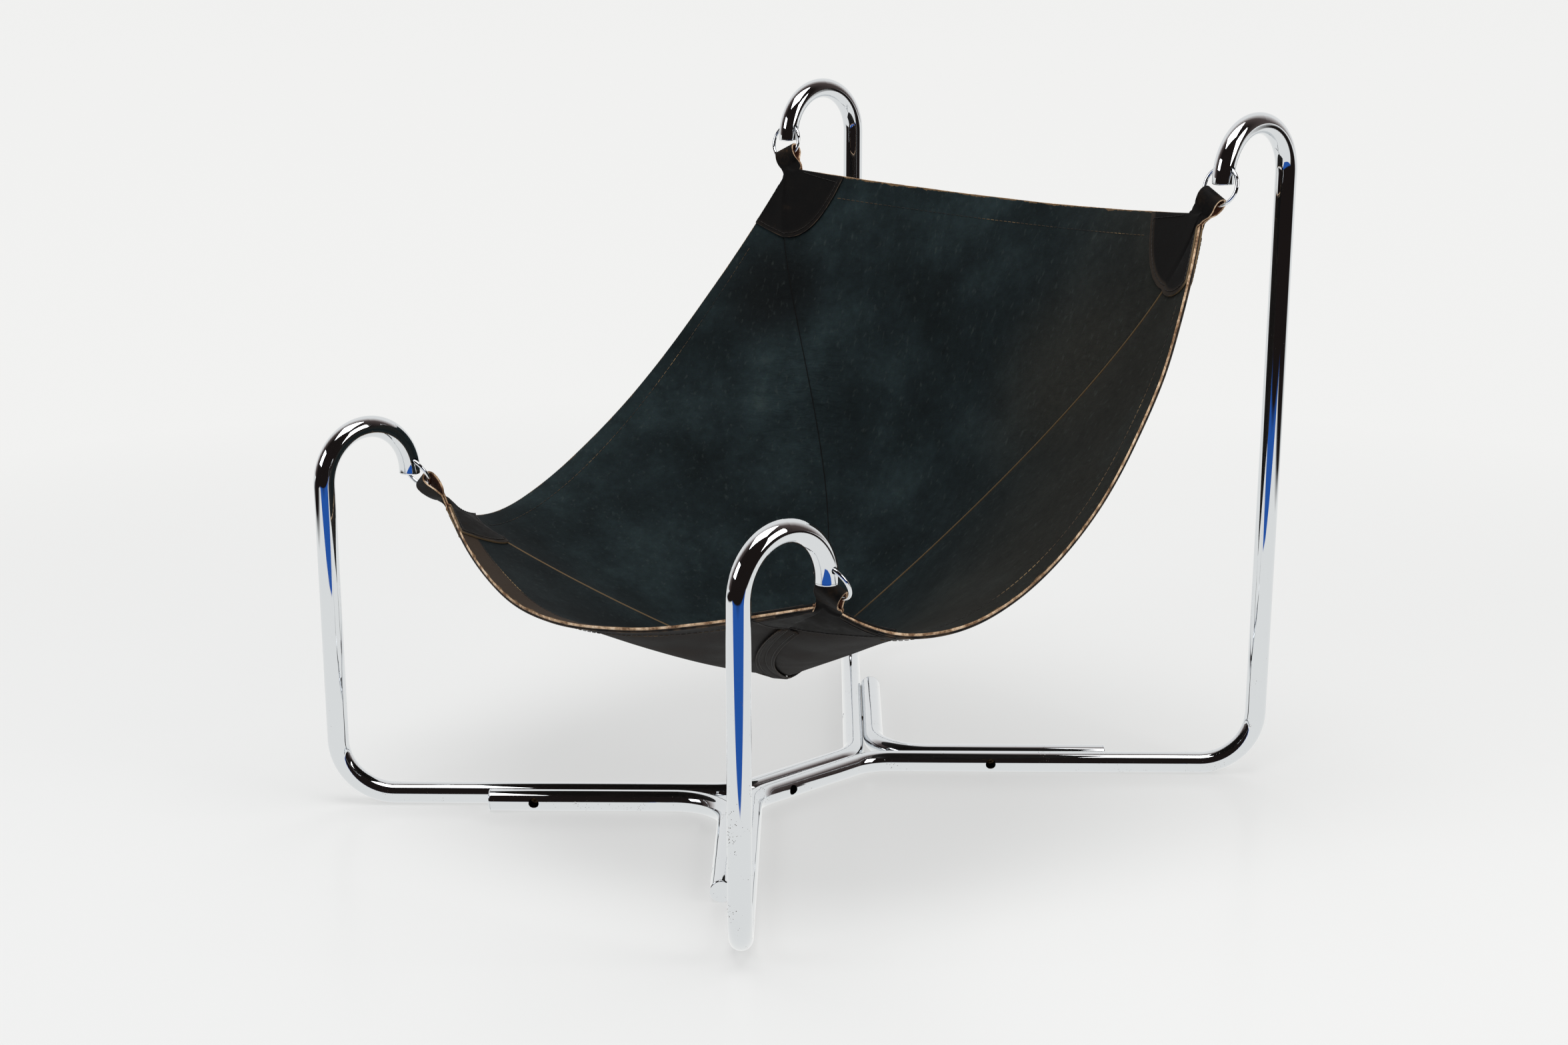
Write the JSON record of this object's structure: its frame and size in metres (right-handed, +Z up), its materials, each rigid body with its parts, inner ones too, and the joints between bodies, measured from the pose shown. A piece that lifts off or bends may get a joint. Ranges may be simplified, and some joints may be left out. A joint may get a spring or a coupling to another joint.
{
  "type": "leather sling lounge chair",
  "caption": "Low lounge chair: a four-panel leather sling hangs by rings from the hooked legs of a bent chromed tube frame with a crossed base.",
  "frame": {"origin": "on the floor, under the middle of the whole chair", "axes": "+Z up, the sitter faces -Y, +X is on the right of a viewer in front of the chair; X = 0 is the mirror plane"},
  "size_m": [0.7846, 0.8918, 0.803],
  "materials": {
    "chromed_steel": "polished, pitted",
    "screw_steel": "dull",
    "sling_leather": "worn suede",
    "patch_leather": "smooth"
  },
  "bodies": {
    "chair": {"right_side_tube": "chromed_steel", "left_side_tube": "chromed_steel", "front_vee_tube": "chromed_steel", "rear_vee_tube": "chromed_steel", "hook_plug_front_right": "chromed_steel", "hook_plug_back_right": "chromed_steel", "hook_plug_front_left": "chromed_steel", "hook_plug_back_left": "chromed_steel", "vee_plug_front_right": "chromed_steel", "vee_plug_front_left": "chromed_steel", "vee_plug_rear_right": "chromed_steel", "vee_plug_rear_left": "chromed_steel", "screw_front_right": "screw_steel", "screw_rear_right": "screw_steel", "screw_front_left": "screw_steel", "screw_rear_left": "screw_steel", "screw_centre": "screw_steel", "nut_front_right": "screw_steel", "nut_rear_right": "screw_steel", "nut_front_left": "screw_steel", "nut_rear_left": "screw_steel", "nut_centre": "screw_steel", "back_panel": "sling_leather", "left_panel": "sling_leather", "front_panel": "sling_leather", "right_panel": "sling_leather", "corner_loop_front_right": "patch_leather", "corner_loop_back_right": "patch_leather", "corner_loop_front_left": "patch_leather", "corner_loop_back_left": "patch_leather", "seam_tape_front_right": "patch_leather", "seam_tape_back_right": "patch_leather", "seam_tape_front_left": "patch_leather", "seam_tape_back_left": "patch_leather"},
    "ring_front_right": {"ring_front_right": "chromed_steel"},
    "ring_back_right": {"ring_back_right": "chromed_steel"},
    "ring_front_left": {"ring_front_left": "chromed_steel"},
    "ring_back_left": {"ring_back_left": "chromed_steel"}
  },
  "joints": [
    {"name": "ring_front_right_swing", "type": "hinge", "parent": "chair", "child": "ring_front_right", "pos_m": [0.34669, -0.31442, 0.3954], "axis": [1, 0, 0], "range_deg": [-3, 3]},
    {"name": "ring_back_right_swing", "type": "hinge", "parent": "chair", "child": "ring_back_right", "pos_m": [0.34952, 0.31442, 0.7424], "axis": [1, 0, 0], "range_deg": [-3, 3]},
    {"name": "ring_front_left_swing", "type": "hinge", "parent": "chair", "child": "ring_front_left", "pos_m": [-0.34669, -0.31442, 0.3954], "axis": [1, 0, 0], "range_deg": [-3, 3]},
    {"name": "ring_back_left_swing", "type": "hinge", "parent": "chair", "child": "ring_back_left", "pos_m": [-0.34952, 0.31442, 0.7424], "axis": [1, 0, 0], "range_deg": [-3, 3]}
  ]
}
